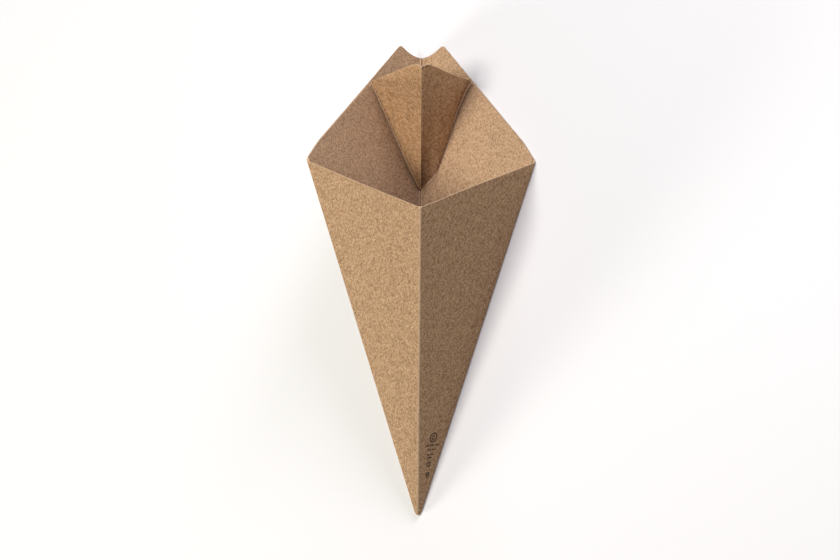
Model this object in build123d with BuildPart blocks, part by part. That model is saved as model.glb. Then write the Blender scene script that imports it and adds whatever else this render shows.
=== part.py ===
from build123d import *
from math import asin, atan, atan2, cos, hypot, radians, sin, tan
import os

# A fry cone folded from one sheet of kraft board and glued.
# Four panels run from the tip to the mouth and meet at a front, a back and two side creases.
# The sheet goes round the back twice. The outer layer stands up behind the mouth, with a round
# notch for the thumb. The inner layer is creased below its top and pushed forward there, which
# makes the small sauce pocket: its point is on the back crease and its ridge faces the front.
#
# It is drawn upright first: Z along the cone's axis, the sharp point where all the creases would
# meet at the origin, and the front towards -Y. At the end it is laid on its right-hand back panel,
# the way it comes to rest, with its tip towards -Y and its mouth towards +Y.

# The flat sheet, as it is cut, in millimetres from the sharp point
front_length = 176.5  # along the front crease, level with the lower ends of the back rims
panel_width = 80.0  # square to it there, from the front crease to a side crease
front_drop = 1.7  # the front rim is cut this far below that level
corner_ease = 5.0  # width over which the back rims ease down to the front rim
rim_rise = 80.0  # climb of the outer back rim, from a side crease to the back crease
tip_cut = 4.75  # the part of the sharp point that is cut away
board = 0.45  # thickness of the board

# The folds
front_fold = 92.6  # angle between the two front panels with the cone held open, in degrees
crease_radius = 0.9  # outside of a fold
tip_round_share = 0.45  # largest rounding of the folds, as a share of a panel's width at the tip
tip_plug = 6.0  # the layers pressed together that close the tip
nose_radius = 2.3  # the rounded end of the tip

# The ridge that the creasing rule leaves along the inside of a fold
bead_radius = 0.6
bead_start = 24.0  # height where the beads begin, where the folds have room for them
bead_root_share = 0.4  # how deep a bead is sunk in the board, as a share of its thickness

# The thumb notch in the outer layer
notch_drop = 20.0  # bottom of the notch, below the sharp top that the rim would have there
notch_radius = 23.0
peak_radius = 2.2  # rounding of the two peaks beside the notch

# The inner layer and its sauce pocket
inner_drop = 1.5  # how far the inner layer's rim runs below the outer one at the back crease
inner_peak_radius = 9.0  # rounding of its top
pocket_drop = 87.5  # the pocket's own point, below the sharp top of the outer rim
pocket_width = 35.2  # from the back crease to the end of the pocket's fold on the rim

# The glued lap, on the left-hand back panel
lap_margin = 2.2  # the outer layer stops this far from the side crease

# Working sizes
cut_overrun = 12.0  # how far the cutting solids run past the board
cut_depth = 2.0  # how far they reach to each side of a panel
rest_share = 0.75  # where the frame's origin lies, as a share of a side crease

# Angles between the axis and the creases, from the flat sheet and how far it is opened
face_angle = atan2(panel_width, front_length)
half_fold = radians(front_fold / 2)
front_lean = atan(tan(face_angle) * cos(half_fold))
side_lean = asin(sin(face_angle) * sin(half_fold))
front_crease = Vector(0, -sin(front_lean), cos(front_lean))
back_crease = Vector(0, sin(front_lean), cos(front_lean))
side_crease = Vector(sin(side_lean), 0, cos(side_lean))
side_length = hypot(front_length, panel_width)
front_rim = front_length - front_drop
back_length = front_length + rim_rise
notch_point = back_length - notch_drop
pocket_point = back_length - pocket_drop
tip_height = tip_cut * cos(front_lean)
top = back_length * cos(front_lean) + cut_overrun  # above every rim
far_y = back_length + cut_overrun * 2  # beyond that along a back panel
far_x = far_y * tan(face_angle) + cut_overrun  # beyond its side crease

# The right-hand back panel, where its two layers meet: X from the back crease towards the side
# crease, Y up the back crease and Z into the cone
across = (side_crease - back_crease * side_crease.dot(back_crease)).normalized()
back_panel = Plane(origin=(0, 0, 0), x_dir=across, z_dir=across.cross(back_crease))
panel_out = -back_panel.z_dir

# The plane that holds both of the pocket's folds. The board behind it is mirrored to its front.
inner_rise = rim_rise - inner_drop
fold_end_y = front_length + inner_rise * (1 - pocket_width / panel_width)
fold_end = across * pocket_width + back_crease * fold_end_y
fold_point = back_crease * pocket_point
fold_up = Vector(0, fold_end.Y - fold_point.Y, fold_end.Z - fold_point.Z)
pocket_plane = Plane(origin=fold_point, x_dir=(1, 0, 0), z_dir=Vector(1, 0, 0).cross(fold_up))

# The creases, in the order of a level section's corners
front, right, back, left = range(4)


def corners(height, front_gap, back_gap):
    """Corners of a level section, with the front and the back panels moved out by a gap."""
    reach = -panel_out.Z * height
    side_x = (reach + (front_gap + back_gap) / 2) / panel_out.X
    side_y = (back_gap - front_gap) / 2 / panel_out.Y
    front_y = -(reach + front_gap) / panel_out.Y
    back_y = (reach + back_gap) / panel_out.Y
    return [(0, front_y), (side_x, side_y), (0, back_y), (-side_x, side_y)]


tip_corners = corners(tip_height, 0, 0)
tip_width = (Vector(tip_corners[right]) - Vector(tip_corners[front])).length
fold_radius = min(crease_radius, tip_round_share * tip_width)


def cone_form(start, front_gap, back_gap, radius):
    """A solid cone with four flat sides and rounded creases, up to above the rims."""
    with BuildPart() as form:
        with BuildSketch(Plane.XY.offset(start)):
            Rectangle(far_x * 2, far_x * 2)
        extrude(amount=top - start)
        for side_x in (1, -1):
            for side_y, gap in ((-1, front_gap), (1, back_gap)):
                out = Vector(panel_out.X * side_x, panel_out.Y * side_y, panel_out.Z)
                split(bisect_by=Plane(origin=out * gap, z_dir=out), keep=Keep.BOTTOM)
        fillet(form.edges().group_by(Axis.Z)[1], radius)
    return form.part


def bead(crease, back_gap, start, end):
    """The ridge along the inside of one crease, between two heights."""
    sink = bead_radius - bead_root_share * board
    low = corners(start, -board - sink, back_gap - sink)[crease]
    high = corners(end, -board - sink, back_gap - sink)[crease]
    low_end = Vector(*low, start)
    run = Vector(*high, end) - low_end
    with BuildPart() as ridge:
        with BuildSketch(Plane(origin=low_end, z_dir=run)):
            Circle(bead_radius)
        extrude(amount=run.length)
    return ridge.part


def above_rim(rise):
    """Outline of what lies above a back rim, on a back panel."""
    ease_rise = rise * corner_ease / panel_width
    with BuildSketch() as outline:
        with BuildLine():
            Polyline(
                (-panel_width, front_length),
                (0, front_length + rise),
                (panel_width - corner_ease, front_length + ease_rise),
                (front_rim * tan(face_angle), front_rim),
                (far_x, front_rim),
                (far_x, far_y),
                (-panel_width, far_y),
                close=True,
            )
        make_face()
    return outline.sketch


# The first turn of the sheet is the front and the inner back layer, the second the outer layer
first_turn = cone_form(tip_height, 0, 0, fold_radius)
second_turn = cone_form(tip_height, 0, board, fold_radius)
hollow = cone_form(tip_height + tip_plug, -board, -board, fold_radius - board)

# What is cut away above the outer layer's rim, with the thumb notch
with BuildPart() as outer_waste:
    with BuildSketch(back_panel) as outer_outline:
        add(above_rim(rim_rise))
        with Locations((0, notch_point + notch_radius)):
            Circle(notch_radius)
        peak = outer_outline.vertices().filter_by_position(Axis.X, 0, far_x, (False, False))
        fillet(peak.sort_by_distance((0, notch_point))[0], peak_radius)
    extrude(amount=cut_depth, both=True)
    mirror(about=Plane.YZ)

# What is cut away above the inner layer's rim
with BuildPart() as inner_waste:
    with BuildSketch(back_panel) as inner_outline:
        add(above_rim(inner_rise))
        inner_peak = inner_outline.vertices().sort_by_distance((0, front_length + inner_rise))[0]
        fillet(inner_peak, inner_peak_radius)
    extrude(amount=cut_depth, both=True)
    mirror(about=Plane.YZ)

# What is cut away above the front rim, in front of the side creases
side_corner_z = front_rim / cos(front_lean)
with BuildPart() as front_waste:
    with BuildSketch(Plane.YZ):
        with BuildLine():
            Polyline(
                (0, side_corner_z),
                (-far_x * cos(front_lean), side_corner_z - far_x * sin(front_lean)),
                (-far_x * cos(front_lean), far_y),
                (0, far_y),
                close=True,
            )
        make_face()
    extrude(amount=far_x, both=True)

# What is cut away round the tip's end
nose_centre = Vector(0, board / 2 / panel_out.Y, tip_height + nose_radius)
with BuildPart() as tip_waste:
    with Locations(nose_centre):
        Cylinder(panel_width, nose_centre.Z, align=(Align.CENTER, Align.CENTER, Align.MAX))
        Sphere(nose_radius, mode=Mode.SUBTRACT)

# What lies inside the outer layer, behind the plane of the pocket's folds
with BuildPart() as behind_folds:
    add(first_turn)
    split(bisect_by=pocket_plane, keep=Keep.BOTTOM)

# The sauce pocket: the inner layer's top, folded to the front of that plane
with BuildPart() as pocket:
    add(behind_folds.part)
    add(hollow, mode=Mode.SUBTRACT)
    add(inner_waste.part, mode=Mode.SUBTRACT)
    mirror(about=pocket_plane, mode=Mode.REPLACE)

# What is cut off the inner layer only, along its rim below the pocket
with BuildPart() as inner_rim_waste:
    add(inner_waste.part)
    add(first_turn, mode=Mode.INTERSECT)

# What the outer layer leaves bare beside the left side crease, above the pressed tip
lap_plane = Plane(
    origin=side_crease * (tip_cut + tip_plug), x_dir=side_crease, z_dir=back_panel.z_dir
)
with BuildPart() as lap_step:
    with BuildSketch(lap_plane):
        with Locations((0, -cut_depth)):
            Rectangle(side_length, lap_margin + cut_depth, align=(Align.MIN, Align.MIN))
    extrude(amount=cut_depth, both=True)
    mirror(about=Plane.YZ, mode=Mode.REPLACE)
    add(first_turn, mode=Mode.SUBTRACT)

# The whole folded sheet, upright
with BuildPart() as upright_cone:
    add(second_turn)
    add(tip_waste.part, mode=Mode.SUBTRACT)
    add(hollow, mode=Mode.SUBTRACT)
    for crease in (front, right, left):
        add(bead(crease, -board, bead_start, top))
    add(bead(back, -board, bead_start, fold_point.Z - board))
    add(behind_folds.part, mode=Mode.SUBTRACT)
    add(bead(back, 0, fold_point.Z + board, top))
    add(front_waste.part, mode=Mode.SUBTRACT)
    add(outer_waste.part, mode=Mode.SUBTRACT)
    add(inner_rim_waste.part, mode=Mode.SUBTRACT)
    add(lap_step.part, mode=Mode.SUBTRACT)
    add(pocket.part)

# The cone at rest: its outer right-hand back panel on the ground, Y along that panel's middle
panel_middle = (back_crease + side_crease).normalized()
rest_plane = Plane(
    origin=panel_middle * side_length * rest_share + panel_out * board,
    x_dir=panel_middle.cross(back_panel.z_dir),
    z_dir=back_panel.z_dir,
)
with BuildPart() as fry_cone:
    add(rest_plane.to_local_coords(upright_cone.part))

fry_cone.part.label = "fry_cone"
os.makedirs("parts", exist_ok=True)
export_step(fry_cone.part, "parts/fry_cone.step")
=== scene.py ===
import bpy
from math import acos, asin, atan, atan2, ceil, cos, exp, floor, hypot, pi, radians, sin, sqrt, tan
from mathutils import Matrix, Vector
from mathutils.geometry import delaunay_2d_cdt


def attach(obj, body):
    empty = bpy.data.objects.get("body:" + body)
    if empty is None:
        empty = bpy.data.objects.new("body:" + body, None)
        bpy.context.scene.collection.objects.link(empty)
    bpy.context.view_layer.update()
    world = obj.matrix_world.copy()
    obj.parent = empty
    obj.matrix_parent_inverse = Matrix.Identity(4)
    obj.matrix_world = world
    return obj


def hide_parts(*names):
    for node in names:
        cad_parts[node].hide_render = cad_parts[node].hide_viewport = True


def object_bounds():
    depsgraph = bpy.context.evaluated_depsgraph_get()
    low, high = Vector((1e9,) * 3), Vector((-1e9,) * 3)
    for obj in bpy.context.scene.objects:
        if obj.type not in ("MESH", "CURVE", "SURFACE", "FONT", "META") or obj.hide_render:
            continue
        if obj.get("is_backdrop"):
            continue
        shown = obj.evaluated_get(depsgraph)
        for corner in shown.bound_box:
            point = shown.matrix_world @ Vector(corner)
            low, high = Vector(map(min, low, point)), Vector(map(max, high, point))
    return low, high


# A paper fry cone. One sheet of kraft board is cut out flat, creased, folded up and laid down.
# Lengths are in millimetres until the sheet is laid down, and in metres from there on.

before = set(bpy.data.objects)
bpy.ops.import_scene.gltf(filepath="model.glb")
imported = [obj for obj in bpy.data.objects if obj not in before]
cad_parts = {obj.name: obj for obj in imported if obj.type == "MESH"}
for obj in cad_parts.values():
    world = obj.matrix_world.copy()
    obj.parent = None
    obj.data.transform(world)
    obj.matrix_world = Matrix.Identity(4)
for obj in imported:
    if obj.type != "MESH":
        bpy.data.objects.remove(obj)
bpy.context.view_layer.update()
mm = 0.001


# 0 for nothing or less, 1 for the length or more, and a straight rise between
def eased(value, length=1):
    return min(1, max(0, value / length))


# All the creases of the flat sheet would meet at one sharp point, and lengths start from there.
sheet = {
    "frontLength": 176.5,  # along the front crease, level with the ends of the back rims
    "panelWidth": 80.0,  # square to it there, from the front crease to a side crease
    "frontDrop": 1.7,  # the front rim is cut this far below that level
    "cornerEase": 9.0,  # width over which the back rims ease down to it
    "easeRadius": 45.0,  # of the bend where that begins
    "rimRise": 80.0,  # climb of the outer back rim to the back crease
    "innerDrop": 1.5,  # the inner layer's rim runs this far below it at the back crease
    "innerPeakRadius": 9.0,
    "tipCut": 4.75,  # the part of the sharp point that is cut away
    "tipShare": 0.97,  # that cut takes this share of the fan
    "edgeStart": 3,  # the free edges start this many times as high
    "board": 0.45,
    "layerGap": 0.03,  # left between the two back layers
    "notchDrop": 20.0,  # bottom of the thumb notch, below the sharp top of the rim
    "notchRadius": 23.0,
    "peakRadius": 2.2,
    "innerMargin": 2.2,  # the inner free edge stops this far from the side crease
    "lapMargin": 2.2,  # and so does the outer one, on the other side
}

folds = {
    "frontFold": 92.6,  # angle between the two front panels, in degrees
    "radius": 0.9,  # outside of a fold
    "leastInside": 0.05,  # inside of it
    "section": 1.5,  # the rounded section is worked out this far to each side of a fold
    "roomShare": 0.42,  # the most of a panel's width that a fold takes near the tip
    "beadRadius": 0.6,  # the ridge that the creasing rule leaves inside a fold
    "beadSink": 0.42,  # its middle lies this far inside the board's inner face
    "beadStart": 24.0,
    "beadEase": 8.0,  # it rises over this length
    "beadGap": 2.0,  # from the pocket's point to the ends of the beads beside it
    "beadEnds": (3.0, 4.0),  # and over these they fade, on the inner and on the outer layer
    "noseRadius": 2.3,  # the rounded end of the tip
    "tipPlug": 4.0,  # height of the closed end, below where the inside opens
    "tipOpening": 2.0,  # it opens over this height
    "flattest": 0.05,  # the least share of their width that the pressed layers keep
    "shut": 0.02,  # and the least that the inside keeps in the closed end
}

pocket = {
    "drop": 87.5,  # its point, below the sharp top of the outer rim
    "width": 35.2,  # from the back crease to the end of the fold on the rim
    "rightBow": 6.6,  # how far the right fold bows out from a straight line
    "leftBow": 0.3,
    "bowSkew": 0.6,  # brings the bow down towards the pocket's point
    "bowTurn": 2.2,  # and turns it the other way near the rim
    "pointSlope": 0.68,  # and both folds rise at least this steeply from that point
    "pointRound": 2.2,  # rounds them into it
    "bowReach": 14.0,  # the swelling above the bow fades over this length
    "beadFade": 192.0,  # the right fold's bead begins to rise here
    "beadFadeLength": 18.0,
    "beadLeast": 0.15,  # what is left of it below
    "ridgeRise": 0.25,  # the bead along the pocket's ridge
    "ridgeHalfWidth": 0.8,
    "ridgeGap": 2.0,  # from the fold to where that bead begins
    "ridgeEase": 3.0,
}

# Slight swells and hollows, as the board springs back: halfway up a panel, and at its rim
swells = {
    "back right, inner": (0.0, 0.0),
    "back left, inner": (-0.2, -0.3),
    "front left": (0.5, 0.35),
    "front right": (-0.45, -0.3),
    "back right, outer": (0.0, 0.0),
    "back left, outer": (-0.2, -0.3),
}

board = sheet["board"]
faceAngle = atan2(sheet["panelWidth"], sheet["frontLength"])
halfFold = radians(folds["frontFold"] / 2)
frontLean = atan(tan(faceAngle) * cos(halfFold))
sideLean = asin(sin(faceAngle) * sin(halfFold))
sideLength = hypot(sheet["frontLength"], sheet["panelWidth"])
frontRim = sheet["frontLength"] - sheet["frontDrop"]
sideRim = frontRim / cos(faceAngle)
backLength = sheet["frontLength"] + sheet["rimRise"]
midAngle = 3 * faceAngle  # the front crease, halfway across the flat sheet

# The creases of the folded cone, standing on its tip with its front towards -Y. The sheet starts
# at the right, and goes round by the back, left and front, and over the back again.
front = Vector((0, -sin(frontLean), cos(frontLean)))
back = Vector((0, sin(frontLean), cos(frontLean)))
right = Vector((sin(sideLean), 0, cos(sideLean)))
left = Vector((-sin(sideLean), 0, cos(sideLean)))
creases = [right, back, left, front, right, back, left]
panelSwells = list(swells.values())
panelOffsets = [0, 0, 0, 0, board, board]
normals = [creases[k].cross(creases[k + 1]).normalized() for k in range(6)]
normals = [n if n.x * (a.x + b.x) + n.y * (a.y + b.y) > 0 else -n
           for n, a, b in zip(normals, creases, creases[1:])]


# Where the sharp line of a crease lies, as the outer layer is a board further out
def creaseShift(k):
    before, after = max(k - 1, 0), min(k, 5)
    n1, n2 = normals[before], normals[after]
    o1, o2 = panelOffsets[before], panelOffsets[after]
    if before == after:
        return n1 * o1
    c = n1.dot(n2)
    return (n1 * (o1 - c * o2) + n2 * (o2 - c * o1)) / (1 - c * c)


shifts = [creaseShift(k) for k in range(7)]

# The pocket's folds lie in one plane. The sheet above them is mirrored to the front of it.
innerRise = sheet["rimRise"] - sheet["innerDrop"]
pocketPoint = backLength - pocket["drop"]
foldEndUp = sheet["frontLength"] + innerRise * (1 - pocket["width"] / sheet["panelWidth"])
backAcross = (right - back * right.dot(back)).normalized()
foldEnd = backAcross * pocket["width"] + back * foldEndUp
foldLine = Vector((0, foldEnd.y, foldEnd.z)) - back * pocketPoint
pocketNormal = Vector((1, 0, 0)).cross(foldLine).normalized()
foldAngle = atan2(pocket["width"], foldEndUp - pocketPoint)  # from the back crease to a fold


def mirrored(way):
    return way - pocketNormal * (2 * way.dot(pocketNormal))


leastOpening = 0.02  # the angle between the ray and a fold is never taken as less


# Distances from the sharp point to the straight fold, and to the fold as it bows out, on the ray
# at this angle from the back crease
def foldStarts(k, fromBack):
    opening = sin(max(leastOpening, foldAngle - fromBack))
    straight = pocketPoint * sin(foldAngle) / opening
    share = min(1, straight * sin(fromBack) / pocket["width"])
    bow = pocket["rightBow"] if k == 0 else pocket["leftBow"]
    bow *= sin(pi * share ** pocket["bowSkew"]) * (1 - pocket["bowTurn"] * share ** 2)
    start = straight - bow / opening
    least = pocketPoint * (1 + pocket["pointSlope"] * sin(fromBack))
    return straight, (start + least + hypot(start - least, pocket["pointRound"])) / 2


# Flat position of a point at this angle from the front crease
def rayPoint(reach, angle):
    return Vector((reach * sin(angle), reach * cos(angle)))


# Flat position of a point that lies so far up crease k, and so far across from it
def flatPoint(k, across, up):
    angle = k * faceAngle - midAngle
    return Vector((up * sin(angle) + across * cos(angle), up * cos(angle) - across * sin(angle)))


# Section of a rounded fold, seen from its sharp line: the outer face, its normal and the inner
# face with the bead, at this distance across the fold
def foldSection(n1, n2, across, radius, thick, strength):
    turn = acos(max(-1, min(1, n1.dot(n2)))) / 2
    m = (n1 + n2).normalized()
    t = (n2 - n1).normalized()
    span = radius * tan(turn)
    if abs(across) < span:
        theta = across / span * turn
        n = m * cos(theta) + t * sin(theta)
        centre = m * (-radius / cos(turn))
        outer = centre + n * radius
        inner = centre + n * max(radius - thick, folds["leastInside"])
    else:
        side = 1 if across > 0 else -1
        n = n2 if side > 0 else n1
        outer = (t * cos(turn) - m * (side * sin(turn))) * across
        inner = outer - n * thick
    sunk = board + folds["beadSink"]
    beadSpan = sunk * tan(turn) + sqrt(folds["beadRadius"] ** 2 - folds["beadSink"] ** 2)
    if strength > 0 and abs(across) < beadSpan:
        psi = across / beadSpan * pi / 2
        ridge = m * (-sunk / cos(turn)) + (t * sin(psi) - m * cos(psi)) * folds["beadRadius"]
        inner = inner.lerp(ridge, strength)
    return outer, n, inner


# The sheet folded into a cone, with no pocket yet: outer face, its normal and the inner face
def conePoint(reach, angle):
    angle = min(6 * faceAngle - 1e-6, max(1e-6, angle))
    k = int(angle // faceAngle)
    phi = angle - k * faceAngle
    share = phi / faceAngle
    nearest = k + round(share)
    away = angle - nearest * faceAngle
    thick = board - (sheet["layerGap"] if k > 3 else 0)
    across = reach * sin(away)
    if 0 < nearest < 6 and abs(across) < folds["section"]:
        strength = eased(reach - folds["beadStart"], folds["beadEase"])
        gap, (innerEnd, outerEnd) = folds["beadGap"], folds["beadEnds"]
        if nearest == 1:
            strength *= eased(pocketPoint + gap - reach, innerEnd)
        elif nearest == 5:
            strength = eased(reach - pocketPoint - gap, outerEnd)
        room = folds["roomShare"] * reach * tan(faceAngle)
        sharp = creases[nearest] * (reach * cos(away)) + shifts[nearest]
        outer, n, inner = foldSection(normals[nearest - 1], normals[nearest], across,
                                      min(folds["radius"], room), thick, strength)
        return sharp + outer, n, sharp + inner
    e1, e2 = creases[k], creases[k + 1]
    a1 = (e2 - e1 * e1.dot(e2)).normalized()
    outer = (e1 * cos(phi) + a1 * sin(phi)) * reach
    outer += shifts[k] * (1 - share) + shifts[k + 1] * share
    middle, rim = panelSwells[k]
    rise = min(1, reach / backLength)
    outer += normals[k] * ((middle * sin(pi * rise) + rim * rise ** 3) * sin(pi * share) ** 2)
    return outer, normals[k], outer - normals[k] * thick


# Outer and inner face of the whole folded sheet, at a flat point
def foldedPoint(x, y):
    reach = hypot(x, y)
    angle = atan2(x, y) + midAngle
    k = int(angle // faceAngle)
    outer, _, inner = conePoint(reach, angle)
    if k > 1 or reach < pocketPoint * 0.9:
        return outer, inner
    straight, start = foldStarts(k, abs(angle - faceAngle))
    over = reach - start
    if over < -4 * folds["section"]:  # well below the fold
        return outer, inner
    foot, n1, _ = conePoint(start, angle)
    way = (foot - conePoint(start - 2 * folds["section"], angle)[0]).normalized()
    turned = mirrored(way)
    n2 = -mirrored(n1)
    fold = n1.cross(n2).normalized()
    fold = fold if fold.dot(way) > 0 else -fold
    along = fold.dot(way)
    across = over * sqrt(1 - along * along)
    if across < -folds["section"]:
        return outer, inner
    if across < folds["section"]:
        strength = 1 if k else max(pocket["beadLeast"], eased(reach - pocket["beadFade"],
                                                              pocket["beadFadeLength"]))
        outer, _, inner = foldSection(n1, n2, across, folds["radius"], board, strength)
        base = foot + fold * (over * along)
        return base + outer, base + inner
    bow = (turned - way) * (straight - start)
    fading = exp(-(across - folds["section"]) / pocket["bowReach"])
    outer = foot + turned * over + bow * (fading - 1)
    aside = reach * sin(angle - faceAngle) / pocket["ridgeHalfWidth"]
    rise = pocket["ridgeRise"] * max(0, 1 - aside * aside)
    rise *= eased(over - pocket["ridgeGap"], pocket["ridgeEase"])
    return outer, outer - n2 * (board + rise)


# The pressed layers close to a blunt, rounded end. Inside, they meet some way above it.
def roundedTip(p, plug=0):
    low = sheet["tipCut"] * cos(frontLean)
    below = eased(low + folds["noseRadius"] - p.z, folds["noseRadius"])
    opening = eased(p.z - low - plug, folds["tipOpening"]) if plug else 1
    if below == 0 and opening == 1:
        return p
    squeeze = max(folds["flattest"], sqrt(1 - below ** 2)) * max(folds["shut"], opening)
    middle = board / 2
    return Vector((p.x * squeeze, middle + (p.y - middle) * squeeze, max(p.z, low)))


print("cutting out the flat sheet")


# Where the line from p along u meets the line from q along v
def crossing(p, u, q, v):
    return p + u * (((q.x - p.x) * v.y - (q.y - p.y) * v.x) / (u.x * v.y - u.y * v.x))


def straightCut(a, b, step=2.0):
    count = max(1, ceil((b - a).length / step))
    return [a.lerp(b, i / count) for i in range(count)]


# Arc round a centre from one spoke to another, the shorter way
def arcCut(centre, a, b, count):
    turn = -a.angle_signed(b)
    points = []
    for i in range(count + 1):
        c, s = cos(turn * i / count), sin(turn * i / count)
        spoke = Vector((a.x * c - a.y * s, a.x * s + a.y * c))
        points.append(centre + spoke * ((a.length + (b.length - a.length) * i / count) / a.length))
    return points


def roundedCorner(before, corner, after, radius, count=10):
    u, v = (before - corner).normalized(), (after - corner).normalized()
    half = u.angle(v) / 2
    cut = radius / tan(half)
    centre = corner + (u + v).normalized() * (radius / sin(half))
    return arcCut(centre, corner + u * cut - centre, corner + v * cut - centre, count)


# The notch's corner is where its circle meets the outer rim
notchCentreUp = backLength - sheet["notchDrop"] + sheet["notchRadius"]
slope = sheet["rimRise"] / sheet["panelWidth"]
rise = notchCentreUp - backLength
square = 1 + slope ** 2
notchHalf = (sqrt((slope * rise) ** 2 - square * (rise ** 2 - sheet["notchRadius"] ** 2))
             - slope * rise) / square


def cutOutline():
    width, frontUp = sheet["panelWidth"], sheet["frontLength"]
    ease = sheet["cornerEase"]

    # where a back rim begins to ease down to a side crease
    def easeStart(k, side, rise):
        return flatPoint(k, side * (width - ease), frontUp + rise * ease / width)

    edgeUp = sheet["tipCut"] * sheet["edgeStart"]
    free = flatPoint(0, sheet["innerMargin"], edgeUp)
    start, end = easeStart(1, -1, innerRise), easeStart(1, 1, innerRise)
    innerTop = flatPoint(1, 0, frontUp + innerRise)
    rimStart = crossing(free, flatPoint(0, 0, 1), start, flatPoint(0, 0, sideRim) - start)
    peak = roundedCorner(start, innerTop, end, sheet["innerPeakRadius"])
    bend = roundedCorner(flatPoint(0, 0, sideRim), start, innerTop, sheet["easeRadius"])
    points = straightCut(free, rimStart) + straightCut(rimStart, bend[0]) + bend[:-1]
    points += straightCut(bend[-1], peak[0]) + peak[:-1]
    # the left corner, the front rim and the right corner
    leftCorner, rightCorner = flatPoint(2, 0, sideRim), flatPoint(4, 0, sideRim)
    bend = roundedCorner(innerTop, end, leftCorner, sheet["easeRadius"])
    points += straightCut(peak[-1], bend[0]) + bend[:-1] + straightCut(bend[-1], leftCorner)
    points += straightCut(leftCorner, rightCorner)
    # the outer layer's rim and the thumb notch between its two peaks
    centre = flatPoint(5, 0, notchCentreUp)
    corners = [flatPoint(5, side * notchHalf, backLength - slope * notchHalf) for side in (-1, 1)]
    bottom = flatPoint(5, 0, backLength - sheet["notchDrop"])
    ways = []
    for corner in corners:
        spoke = corner - centre
        way = Vector((-spoke.y, spoke.x))
        ways.append(corner + (way if way.dot(bottom - corner) > 0 else -way))
    start, end = (easeStart(5, side, sheet["rimRise"]) for side in (-1, 1))
    first = roundedCorner(start, corners[0], ways[0], sheet["peakRadius"], 8)
    last = roundedCorner(ways[1], corners[1], end, sheet["peakRadius"], 8)
    count = 28
    notch = arcCut(centre, first[-1] - centre, last[0] - centre, count)
    for i in range(1, count):
        spoke = notch[i] - centre
        settled = spoke.normalized() * sheet["notchRadius"]
        notch[i] = centre + spoke.lerp(settled, min(1, i / 3, (count - i) / 3))
    bend = roundedCorner(rightCorner, start, corners[0], sheet["easeRadius"])
    points += straightCut(rightCorner, bend[0]) + bend[:-1] + straightCut(bend[-1], first[0])
    points += first + notch[1:-1] + last[:-1]
    # the lap's free edge, and the tip
    lap = flatPoint(6, -sheet["lapMargin"], edgeUp)
    rimEnd = crossing(lap, flatPoint(6, 0, 1), end, flatPoint(6, 0, sideRim) - end)
    bend = roundedCorner(corners[1], end, flatPoint(6, 0, sideRim), sheet["easeRadius"])
    points += straightCut(last[-1], bend[0]) + bend[:-1] + straightCut(bend[-1], rimEnd)
    points += straightCut(rimEnd, lap) + [lap]
    for i in range(41):
        points.append(rayPoint(sheet["tipCut"], midAngle * (1 - i / 20) * sheet["tipShare"]))
    return points


outline = cutOutline()
verts = list(outline)
edges = [(i, (i + 1) % len(outline)) for i in range(len(outline))]


# Whether a flat point lies on the sheet
def onSheet(p):
    hit = False
    for a, b in zip(outline, outline[1:] + outline[:1]):
        if (a.y > p.y) != (b.y > p.y):
            if p.x < (b.x - a.x) * (p.y - a.y) / (b.y - a.y) + a.x:
                hit = not hit
    return hit


# The mesh follows these lines, such as the rows of points beside a crease
def addLine(points):
    first = len(verts)
    verts.extend(points)
    edges.extend((first + i, first + i + 1) for i in range(len(points) - 1))


meshing = {
    "rows": [0, 0.16, 0.32, 0.48, 0.64, 0.78, 0.92, 1.1, 1.32, 1.8],
    "foldRows": [0, 0.16, 0.32, 0.48, 0.64, 0.78, 0.95, 1.15, 1.38, 1.8],
    "tipRows": [4.9, 5.2, 5.7, 6.4],  # round the blunt tip
    "start": 7.0,  # the other lines and points begin this far up
    "step": 3.0,  # between the points of a crease's rows
    "foldSteps": 40,  # along one of the pocket's folds
    "foldShare": 0.985,  # its rows stop this near its end on the rim
    "ridgeSteps": 24,
    "spacing": 2.8,
    "clearance": 1.2,
    "pointSpacing": 0.35,  # the same two, round the pocket's point
    "pointClearance": 0.2,
    "pointReach": 4.0,
    "rimGap": 0.7,  # from the front rim or the notch to the end of a crease's rows
    "cornerGap": 1.3,  # and from a side corner
    "cell": 2.0,  # of the grid in which near points are looked up
    "sliver": 0.002,  # the least triangle that is kept, along the straight cuts
}

# The rows of a crease stop just short of the rim, or of the pocket's point
frontTop, sideTop = frontRim - meshing["rimGap"], sideRim - meshing["cornerGap"]
notchTop = backLength - sheet["notchDrop"] - meshing["rimGap"]
for k, top in enumerate((pocketPoint - 3, sideTop, frontTop, sideTop, notchTop), 1):
    for row in meshing["rows"]:
        low = max(meshing["start"], row / tan(faceAngle / 2) + 1)
        count = int((top - low) / meshing["step"])
        for across in {row, -row}:
            addLine([flatPoint(k, across, low + (top - low) * i / count)
                     for i in range(count + 1)])

rimAngle = atan2(pocket["width"], foldEndUp)
for k in (0, 1):
    for row in meshing["foldRows"]:
        for across in {row, -row}:
            line = []
            for i in range(2, meshing["foldSteps"] + 1):
                fromBack = rimAngle * meshing["foldShare"] * i / meshing["foldSteps"]
                reach = foldStarts(k, fromBack)[1] + across / sin(foldAngle - fromBack)
                line.append(rayPoint(reach, faceAngle + (fromBack if k else -fromBack) - midAngle))
            addLine([p for p in line if onSheet(p)])
ridgeLow, ridgeHigh = pocketPoint + 4, sheet["frontLength"] + innerRise - 5
for row in meshing["rows"][:-1]:
    for across in {row, -row}:
        addLine([flatPoint(1, across, ridgeLow + (ridgeHigh - ridgeLow) * i / meshing["ridgeSteps"])
                 for i in range(meshing["ridgeSteps"] + 1)])
for reach in meshing["tipRows"]:
    arc = [rayPoint(reach, midAngle * (1 - i / 16)) for i in range(33)]
    addLine([p for p in arc if onSheet(p)])


def cellOf(p):
    return floor(p.x / meshing["cell"]), floor(p.y / meshing["cell"])


def take(points):
    for p in points:
        taken.setdefault(cellOf(p), []).append(p)


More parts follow.
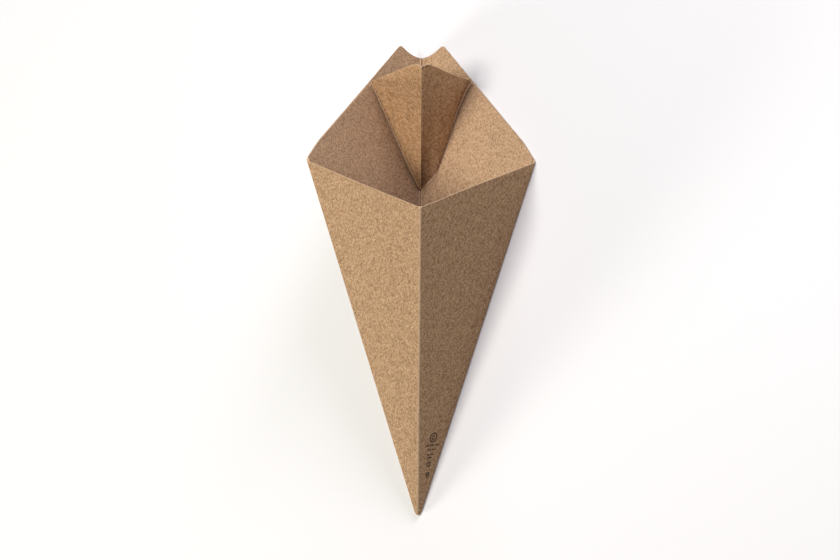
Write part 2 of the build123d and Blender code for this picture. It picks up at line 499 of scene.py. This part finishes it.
def isClear(p, clearance):
    i, j = cellOf(p)
    return all((p - q).length > clearance
               for a in (i - 1, i, i + 1) for b in (j - 1, j, j + 1)
               for q in taken.get((a, b), ()))


def fill(low, high, spacing, clearance):
    points = []
    step = spacing * sqrt(3) / 2
    for j in range(int((high.y - low.y) / step) + 1):
        for i in range(int((high.x - low.x) / spacing) + 1):
            p = Vector((low.x + (i + j % 2 / 2) * spacing, low.y + j * step))
            if p.length > meshing["start"] and isClear(p, clearance) and onSheet(p):
                points.append(p)
    verts.extend(points)
    take(points)


# Loose points fill the panels, and crowd together at the pocket's point
taken = {}
take(verts)
pocketFlat = flatPoint(1, 0, pocketPoint)
corner = Vector((meshing["pointReach"], meshing["pointReach"]))
fill(pocketFlat - corner, pocketFlat + corner, meshing["pointSpacing"], meshing["pointClearance"])
xs, ys = [p.x for p in outline], [p.y for p in outline]
fill(Vector((min(xs), min(ys))), Vector((max(xs), max(ys))), meshing["spacing"],
     meshing["clearance"])

flatVerts, _, flatFaces, _, _, _ = delaunay_2d_cdt(verts, edges, [], 0, 1e-4)
triangles = []
for f in flatFaces:
    a, b, c = (flatVerts[i] for i in f)
    if (b - a).cross(c - a) > meshing["sliver"] and onSheet((a + b + c) / 3):
        triangles.append(tuple(f))
used = sorted({i for f in triangles for i in f})
order = {v: n for n, v in enumerate(used)}
flat = [flatVerts[i] for i in used]
triangles = [tuple(order[i] for i in f) for f in triangles]
print("flat sheet:", len(flat), "points and", len(triangles), "triangles")

# The cone comes to rest on its right-hand back panel, with its tip towards -Y
print("folding it up and laying it down")
up = -normals[0]
lengthwise = (back + right).normalized()
crosswise = lengthwise.cross(up)
restShare = 0.75  # where the frame's origin lies, as a share of a side crease
restPoint = lengthwise * (sideLength * restShare) - up * board


def laidWay(v):
    return Vector((v.dot(crosswise), v.dot(lengthwise), v.dot(up)))


def laidPoint(p):
    return laidWay(p - restPoint) * mm


outerFace, innerFace = [], []
for p in flat:
    outer, inner = foldedPoint(p.x, p.y)
    outerFace.append(laidPoint(roundedTip(outer)))
    innerFace.append(laidPoint(roundedTip(inner, folds["tipPlug"])))

count = len(flat)
sides = {(f[i], f[(i + 1) % 3]) for f in triangles for i in range(3)}
rim = sorted((a, b) for a, b in sides if (b, a) not in sides)
inside = [(c + count, b + count, a + count) for a, b, c in triangles]
walls = [(b, a, a + count, b + count) for a, b in rim]
mesh = bpy.data.meshes.new("folded_cone")
mesh.from_pydata(outerFace + innerFace, [], triangles + inside + walls)
cone = bpy.data.objects.new("folded_cone", mesh)
bpy.context.scene.collection.objects.link(cone)

# The sheet's own flat shape carries the grain of the board. Slots: outside, inside, cut edge.
grainMap = mesh.uv_layers.new(name="sheet")
for loop in mesh.loops:
    p = flat[loop.vertex_index % count]
    grainMap.data[loop.index].uv = (p.x * mm, p.y * mm)
for i, face in enumerate(mesh.polygons):
    face.material_index = min(2, i // len(triangles))
    face.use_smooth = face.material_index < 2
rimPairs = {frozenset(e) for e in rim} | {frozenset((a + count, b + count)) for a, b in rim}
for e in mesh.edges:
    e.use_edge_sharp = frozenset(e.vertices) in rimPairs

# Outside, the board is rubbed pale along every fold: real crease wear, with a painted highlight of
# the rounded fold in it. Inside, painted highlights run in two lines beside the back creases, along
# the pocket's ridge and beside its folds, and painted shade darkens the crease between those two
# lines, a band below each fold, and the board towards the pocket's point.
wearAndPaintedLight = {
    "outsideWidth": 1.3,
    "lineAway": 0.78,  # from a back crease to the painted highlight lines beside it
    "lineWidth": 0.4,
    "lineDark": 0.85,  # painted shade in the crease itself, between them
    "lineDarkWidth": 0.624,
    "ridgePale": 0.55,
    "ridgeWidth": 0.55,
    "foldPale": 0.48,
    "foldFall": 2.2,  # on the pocket's side of a fold, the painted highlight would fall by 1 over this width
    "foldFallBelow": 0.5,  # and on the other side over this
    "foldEase": 0.03,  # angle from the back crease over which it sets in
    "darkBand": 0.45,  # painted shade in a band below a fold
    "darkWidth": 3.6,
    "darkReach": 32.0,  # painted shade reaches up this far from the pocket's point
    "darkRight": (0.0, 0.9),  # how dark the painted shade gets there, on the panel and on the pocket's face
    "darkLeft": (0.4, 0.35),
    "darkest": 0.9,
}
rubbedAndHighlight, paintedShade, onPocket = ([0.0] * (2 * count) for i in range(3))
for i, p in enumerate(flat):
    angle = atan2(p.x, p.y) + midAngle
    k = min(5, max(1, round(angle / faceAngle)))
    away = p.length * abs(sin(angle - k * faceAngle))
    # outside: pale rubbed wear along every fold, with a painted highlight of the rounded fold in it
    rubbedAndHighlight[i] = max(0, 1 - away / wearAndPaintedLight["outsideWidth"])
    pale = dark = 0
    # inside: a painted highlight along the pocket's ridge, or painted highlight lines beside the
    # back creases with a painted shade line in the crease between them
    if k == 1 and p.length > pocketPoint:
        pale = max(0, wearAndPaintedLight["ridgePale"] - away / wearAndPaintedLight["ridgeWidth"])
    elif k in (1, 5):
        pale = max(0, 1 - abs(away - wearAndPaintedLight["lineAway"]) / wearAndPaintedLight["lineWidth"])
        dark = max(0, 1 - away / wearAndPaintedLight["lineDarkWidth"]) * wearAndPaintedLight["lineDark"]
    # painted highlights beside the pocket's folds; painted shade in a band below each fold and
    # growing towards the pocket's point
    if angle < 2 * faceAngle:
        fromBack = abs(angle - faceAngle)
        over = p.length - foldStarts(int(angle > faceAngle), fromBack)[1]
        over *= sin(max(leastOpening, foldAngle - fromBack))
        share = eased(over + 0.5)  # from the panel to the pocket, over a millimetre
        onPocket[count + i] = share
        fall = wearAndPaintedLight["foldFall" if over > 0 else "foldFallBelow"]
        foldPale = wearAndPaintedLight["foldPale"] - abs(over) / fall
        pale = max(pale, foldPale * eased(fromBack, wearAndPaintedLight["foldEase"]))
        near = max(0, 1 - (p - pocketFlat).length / wearAndPaintedLight["darkReach"])
        panelDark, pocketDark = wearAndPaintedLight["darkLeft" if angle > faceAngle else "darkRight"]
        pointDark = near * (panelDark + (pocketDark - panelDark) * share)
        if over < 0:
            pointDark += wearAndPaintedLight["darkBand"] * max(0, 1 + over / wearAndPaintedLight["darkWidth"])
        dark = min(wearAndPaintedLight["darkest"], max(dark, pointDark))
    rubbedAndHighlight[count + i], paintedShade[count + i] = pale, dark
for name, values in (("rubbedAndHighlight", rubbedAndHighlight), ("paintedShade", paintedShade), ("pocket", onPocket)):
    mesh.attributes.new(name, "FLOAT", "POINT").data.foreach_set("value", values)

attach(cone, "root")
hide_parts("fry_cone")

kraft = {
    "outsideLight": (0.452, 0.304, 0.178),
    "outsideDark": (0.265, 0.155, 0.074),
    "insideLight": (0.497, 0.338, 0.203),
    "insideDark": (0.315, 0.203, 0.111),
    "fibre": (0.78, 0.73, 0.68),  # the tone is multiplied by this on a dark fibre
    "outsideDepth": 0.82,
    "insideDepth": 0.7,
    "pocketDepth": 1.0,
    "pocketBounceLight": (1.2, 1.1, 1.0),  # painted warm bounce light: the pocket's faces are multiplied by this
    # pale tone of the rubbed wear outside and of the painted highlights on both faces
    "rubbedAndHighlight": (0.58, 0.42, 0.275),
    "outsideRubbingAndHighlight": ((0.2, 0.0), (0.9, 0.55)),  # where it starts and is full, and how strong
    "insideHighlight": ((0.1, 0.0), (0.8, 0.85)),
    "shade": (0.16, 0.1, 0.1),  # painted shade: the tone is multiplied by this where the painted shade is darkest
    "edgeLight": (0.46, 0.33, 0.205),
    "edgeDark": (0.34, 0.225, 0.13),
    "edgeGrain": (1200, 2),  # scale and detail
    "edgeStops": (0.35, 0.65),
    "edgeRoughness": 0.9,
    "roughness": 0.85,
    "gloss": 0.15,
}

# The grain's patterns, finest first, each with its scale and detail. The first two are stretched,
# turned and bent. In the last two, the tone is multiplied by these where the pattern is low.
grain = {
    "speckle": (1150, 2.4, 1.3, 0.5, 0.4),
    "speckleStops": (0.32, 0.68),  # where it is darkest and lightest
    "fibres": ((1000, 2, 3.2, 0.35, 0.6), (900, 2, 2.4, -0.8, 0.6)),
    "fibreStops": (0.36, 0.52),
    "pits": (800, 1),
    "pitTones": ((0.27, 0.6), (0.36, 1.0)),
    "clouds": (190, 4),
    "cloudTones": ((0.3, 0.84), (0.6, 1.0)),
    "bump": 0.4,
    "bumpHeight": 0.00015,
}

# Small printed marks low on the front right panel: kind, then distances along and across the
# middle line of the panel, and the width and height of a bar, or of a ring and of its line
marks = {
    "ink": (0.055, 0.035, 0.025),
    "strength": 0.9,
    "shapes": [
        ("ring", 45.9, 0.8, 5.4, 0.85),
        ("ring", 45.9, 0.8, 2.6, 0.8),
        ("bar", 41.8, -2.3, 2.4, 0.8),
        ("bar", 41.8, 0.9, 3.0, 0.8),
        ("bar", 41.8, 4.3, 2.6, 0.8),
        ("bar", 39.5, -0.9, 2.8, 0.7),
        ("bar", 39.5, 2.2, 2.4, 0.7),
        ("bar", 36.9, -0.8, 1.8, 0.9),
        ("bar", 36.9, 1.5, 1.6, 0.9),
        ("bar", 35.3, 0.4, 2.9, 0.8),
        ("ring", 31.7, 0.5, 2.9, 0.75),
        ("ring", 26.3, 0.9, 2.9, 0.75),
        ("bar", 26.3, 0.9, 1.6, 0.6),
    ],
}


class Finish:
    def __init__(self, name, roughness=kraft["roughness"]):
        self.material = bpy.data.materials.new(name)
        self.material.use_nodes = True
        self.nodes, self.links = self.material.node_tree.nodes, self.material.node_tree.links
        self.nodes.clear()
        self.shader = self.nodes.new("ShaderNodeBsdfPrincipled")
        self.shader.inputs["Roughness"].default_value = roughness
        self.shader.inputs["Specular IOR Level"].default_value = kraft["gloss"]
        out = self.nodes.new("ShaderNodeOutputMaterial")
        self.links.new(self.shader.outputs[0], out.inputs[0])

    def add(self, kind, *inputs, **settings):
        node = self.nodes.new("ShaderNode" + kind)
        for name, value in settings.items():
            setattr(node, name, value)
        for socket, value in inputs:
            if isinstance(value, bpy.types.NodeSocket):
                self.links.new(value, node.inputs[socket])
            else:
                node.inputs[socket].default_value = value
        return node

    def colour(self, tone):
        self.links.new(tone, self.shader.inputs["Base Color"])

    def attribute(self, name):
        return self.add("Attribute", attribute_name=name).outputs["Fac"]

    def noise(self, place, scale, detail, stretch=1, turn=0, bend=0):
        moved = self.add("Mapping", (0, place), ("Rotation", (0, 0, turn)),
                         ("Scale", (1, stretch, 1)), vector_type="TEXTURE")
        return self.add("TexNoise", ("Vector", moved.outputs[0]), ("Scale", scale),
                        ("Detail", detail), ("Distortion", bend)).outputs["Fac"]

    def ramp(self, value, *stops):
        node = self.add("ValToRGB", (0, value))
        for element, (at, tone) in zip(node.color_ramp.elements, stops):
            element.position = at
            element.color = (*tone, 1) if isinstance(tone, tuple) else (tone, tone, tone, 1)
        return node.outputs[0]

    def mix(self, blend, share, a, b):
        node = self.add("Mix", ("Factor", share), data_type="RGBA", blend_type=blend)
        for socket, value in (("A", a), ("B", b)):
            if isinstance(value, tuple):
                node.inputs[socket].default_value = (*value, 1)
            else:
                self.links.new(value, node.inputs[socket])
        return node.outputs["Result"]

    def math(self, kind, *values):
        return self.add("Math", *enumerate(values), operation=kind).outputs[0]


# Board face: a fine speckle, short curled fibres lying every way, and a slow cloudiness
def boardFace(name, light, dark, depth, pocketDepth=None):
    finish = Finish(name)
    if pocketDepth:
        depth = finish.math("MULTIPLY_ADD", finish.attribute("pocket"), pocketDepth - depth, depth)
    place = finish.add("UVMap", uv_map="sheet").outputs[0]
    speckle = finish.noise(place, *grain["speckle"])
    tone = finish.ramp(speckle, *zip(grain["speckleStops"], (dark, light)))
    for fibres in grain["fibres"]:
        shade = finish.ramp(finish.noise(place, *fibres),
                            *zip(grain["fibreStops"], (kraft["fibre"], 1.0)))
        tone = finish.mix("MULTIPLY", depth, tone, shade)
    for pattern, tones in (("pits", "pitTones"), ("clouds", "cloudTones")):
        shade = finish.ramp(finish.noise(place, *grain[pattern]), *grain[tones])
        tone = finish.mix("MULTIPLY", depth, tone, shade)
    bump = finish.add("Bump", ("Strength", grain["bump"]), ("Distance", grain["bumpHeight"]),
                      ("Height", speckle))
    finish.links.new(bump.outputs[0], finish.shader.inputs["Normal"])
    return finish, place, tone


# 1 on the printed marks and 0 elsewhere, measured on the middle line of the front right panel
def printedMarks(finish, place):
    turned = finish.add("Mapping", (0, place), ("Rotation", (0, 0, faceAngle / 2)),
                        ("Scale", (1 / mm, 1 / mm, 1)))
    spread = finish.add("SeparateXYZ", (0, turned.outputs[0]))
    across, along = spread.outputs[0], spread.outputs[1]
    total = None
    for kind, up, aside, width, height in marks["shapes"]:
        dx = finish.math("SUBTRACT", across, aside)
        dy = finish.math("SUBTRACT", along, up)
        if kind == "ring":
            far = finish.math("SQRT", finish.math("ADD", finish.math("MULTIPLY", dx, dx),
                                                  finish.math("MULTIPLY", dy, dy)))
            off = finish.math("ABSOLUTE", finish.math("SUBTRACT", far, width / 2 - height / 2))
            mask = finish.math("LESS_THAN", off, height / 2)
        else:
            mask = finish.math(
                "MULTIPLY", finish.math("LESS_THAN", finish.math("ABSOLUTE", dx), width / 2),
                finish.math("LESS_THAN", finish.math("ABSOLUTE", dy), height / 2))
        total = mask if total is None else finish.math("MAXIMUM", total, mask)
    return finish.math("MULTIPLY", total, marks["strength"])


print("colouring the board")
outside, place, tone = boardFace("kraft_outside", kraft["outsideLight"], kraft["outsideDark"],
                                 kraft["outsideDepth"])
# pale rubbed wear along the folds, with a painted highlight in it
share = outside.ramp(outside.attribute("rubbedAndHighlight"), *kraft["outsideRubbingAndHighlight"])
tone = outside.mix("MIX", share, tone, kraft["rubbedAndHighlight"])
outside.colour(outside.mix("MIX", printedMarks(outside, place), tone, marks["ink"]))
within, _, tone = boardFace("kraft_inside", kraft["insideLight"], kraft["insideDark"],
                            kraft["insideDepth"], kraft["pocketDepth"])
# painted warm bounce light on the pocket's faces
tone = within.mix("MULTIPLY", within.attribute("pocket"), tone, kraft["pocketBounceLight"])
# painted shade in the back creases, below the pocket's folds and towards the pocket's point
tone = within.mix("MULTIPLY", within.attribute("paintedShade"), tone, kraft["shade"])
# painted highlights beside the back creases, along the pocket's ridge and beside its folds
share = within.ramp(within.attribute("rubbedAndHighlight"), *kraft["insideHighlight"])
within.colour(within.mix("MIX", share, tone, kraft["rubbedAndHighlight"]))
cut = Finish("cut_edge", kraft["edgeRoughness"])
solid = cut.add("TexCoord").outputs["Object"]
cut.colour(cut.ramp(cut.noise(solid, *kraft["edgeGrain"]),
                    *zip(kraft["edgeStops"], (kraft["edgeDark"], kraft["edgeLight"]))))
for finish in (outside, within, cut):
    mesh.materials.append(finish.material)

print("setting the table, the light and the camera")
studio = {
    "tableSize": 8.0,
    "tableDrop": 0.0002,  # below the board, so that the two don't flicker
    "tableColor": (0.62, 0.62, 0.615),
    "tableRoughness": 0.9,
    "ambient": 0.01,
    "lampSize": 0.6,
    "lamps": {  # place, power and color
        "above": ((0, 0, 1.6), 27, (1, 0.975, 0.93)),
        "right": ((0.81, 1.12, 0.8), 19, (0.95, 0.91, 1.06)),
        "mouth side": ((0, 1.57, 0.33), 9, (0.9, 0.95, 1)),
        "left": ((-1.27, -0.92, 0.33), 31, (1, 0.99, 0.93)),
    },
}
half = studio["tableSize"] / 2
tableMesh = bpy.data.meshes.new("table")
tableMesh.from_pydata([(-half, -half, 0), (half, -half, 0), (half, half, 0), (-half, half, 0)],
                      [], [(0, 1, 2, 3)])
table = bpy.data.objects.new("table", tableMesh)
table.location.z = -studio["tableDrop"]
bpy.context.scene.collection.objects.link(table)
tabletop = Finish("pale_table", studio["tableRoughness"])
tabletop.shader.inputs["Base Color"].default_value = (*studio["tableColor"], 1)
tableMesh.materials.append(tabletop.material)
table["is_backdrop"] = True

for name, (place, power, color) in studio["lamps"].items():
    lamp = bpy.data.lights.new(name, "AREA")
    lamp.size = studio["lampSize"]
    lamp.energy = power
    lamp.color = color
    light = bpy.data.objects.new(name, lamp)
    light.location = place
    light.rotation_euler = Vector(place).to_track_quat("Z", "Y").to_euler()
    bpy.context.scene.collection.objects.link(light)
world = bpy.data.worlds.new("studio")
world.use_nodes = True
backdrop = world.node_tree.nodes["Background"].inputs
backdrop["Color"].default_value = (1, 1, 1, 1)
backdrop["Strength"].default_value = studio["ambient"]
bpy.context.scene.world = world
bpy.context.scene.view_settings.view_transform = "Standard"

# The picture is 840 by 560 pixels. The camera looks a little down into the mouth.
view = {
    "tip": (417.5, 524.5),  # where the sharp point falls in the picture
    "middle": (420.0, 280.0),
    "width": 840,
    "pixel": 0.4995,  # on the cone, in millimetres
    "pitch": 8.0,  # degrees above square to the cone's axis
    "lean": 0.5,  # degrees that the cone leans to the right
    "distance": 9.0,
    "farthest": 60.0,
}
pitch, lean = radians(view["pitch"]), radians(view["lean"])
toCamera = Vector((0, -cos(pitch), sin(pitch)))
steep, level = Vector((0, sin(pitch), cos(pitch))), Vector((1, 0, 0))
pictureUp = steep * cos(lean) - level * sin(lean)
pictureRight = steep * sin(lean) + level * cos(lean)
target = pictureRight * ((view["middle"][0] - view["tip"][0]) * view["pixel"])
target += pictureUp * ((view["tip"][1] - view["middle"][1]) * view["pixel"])
target += toCamera * (sheet["frontLength"] / 2 * sin(pitch))
camera = bpy.data.objects.new("camera", bpy.data.cameras.new("camera"))
pictureWidth = view["width"] * view["pixel"] * mm
camera.data.lens = camera.data.sensor_width * view["distance"] / pictureWidth
camera.data.clip_end = view["farthest"]
camera.location = laidPoint(target) + laidWay(toCamera) * view["distance"]
turned = Matrix([laidWay(v) for v in (pictureRight, pictureUp, toCamera)]).transposed()
camera.rotation_euler = turned.to_euler()
bpy.context.scene.collection.objects.link(camera)
bpy.context.scene.camera = camera

low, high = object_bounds()
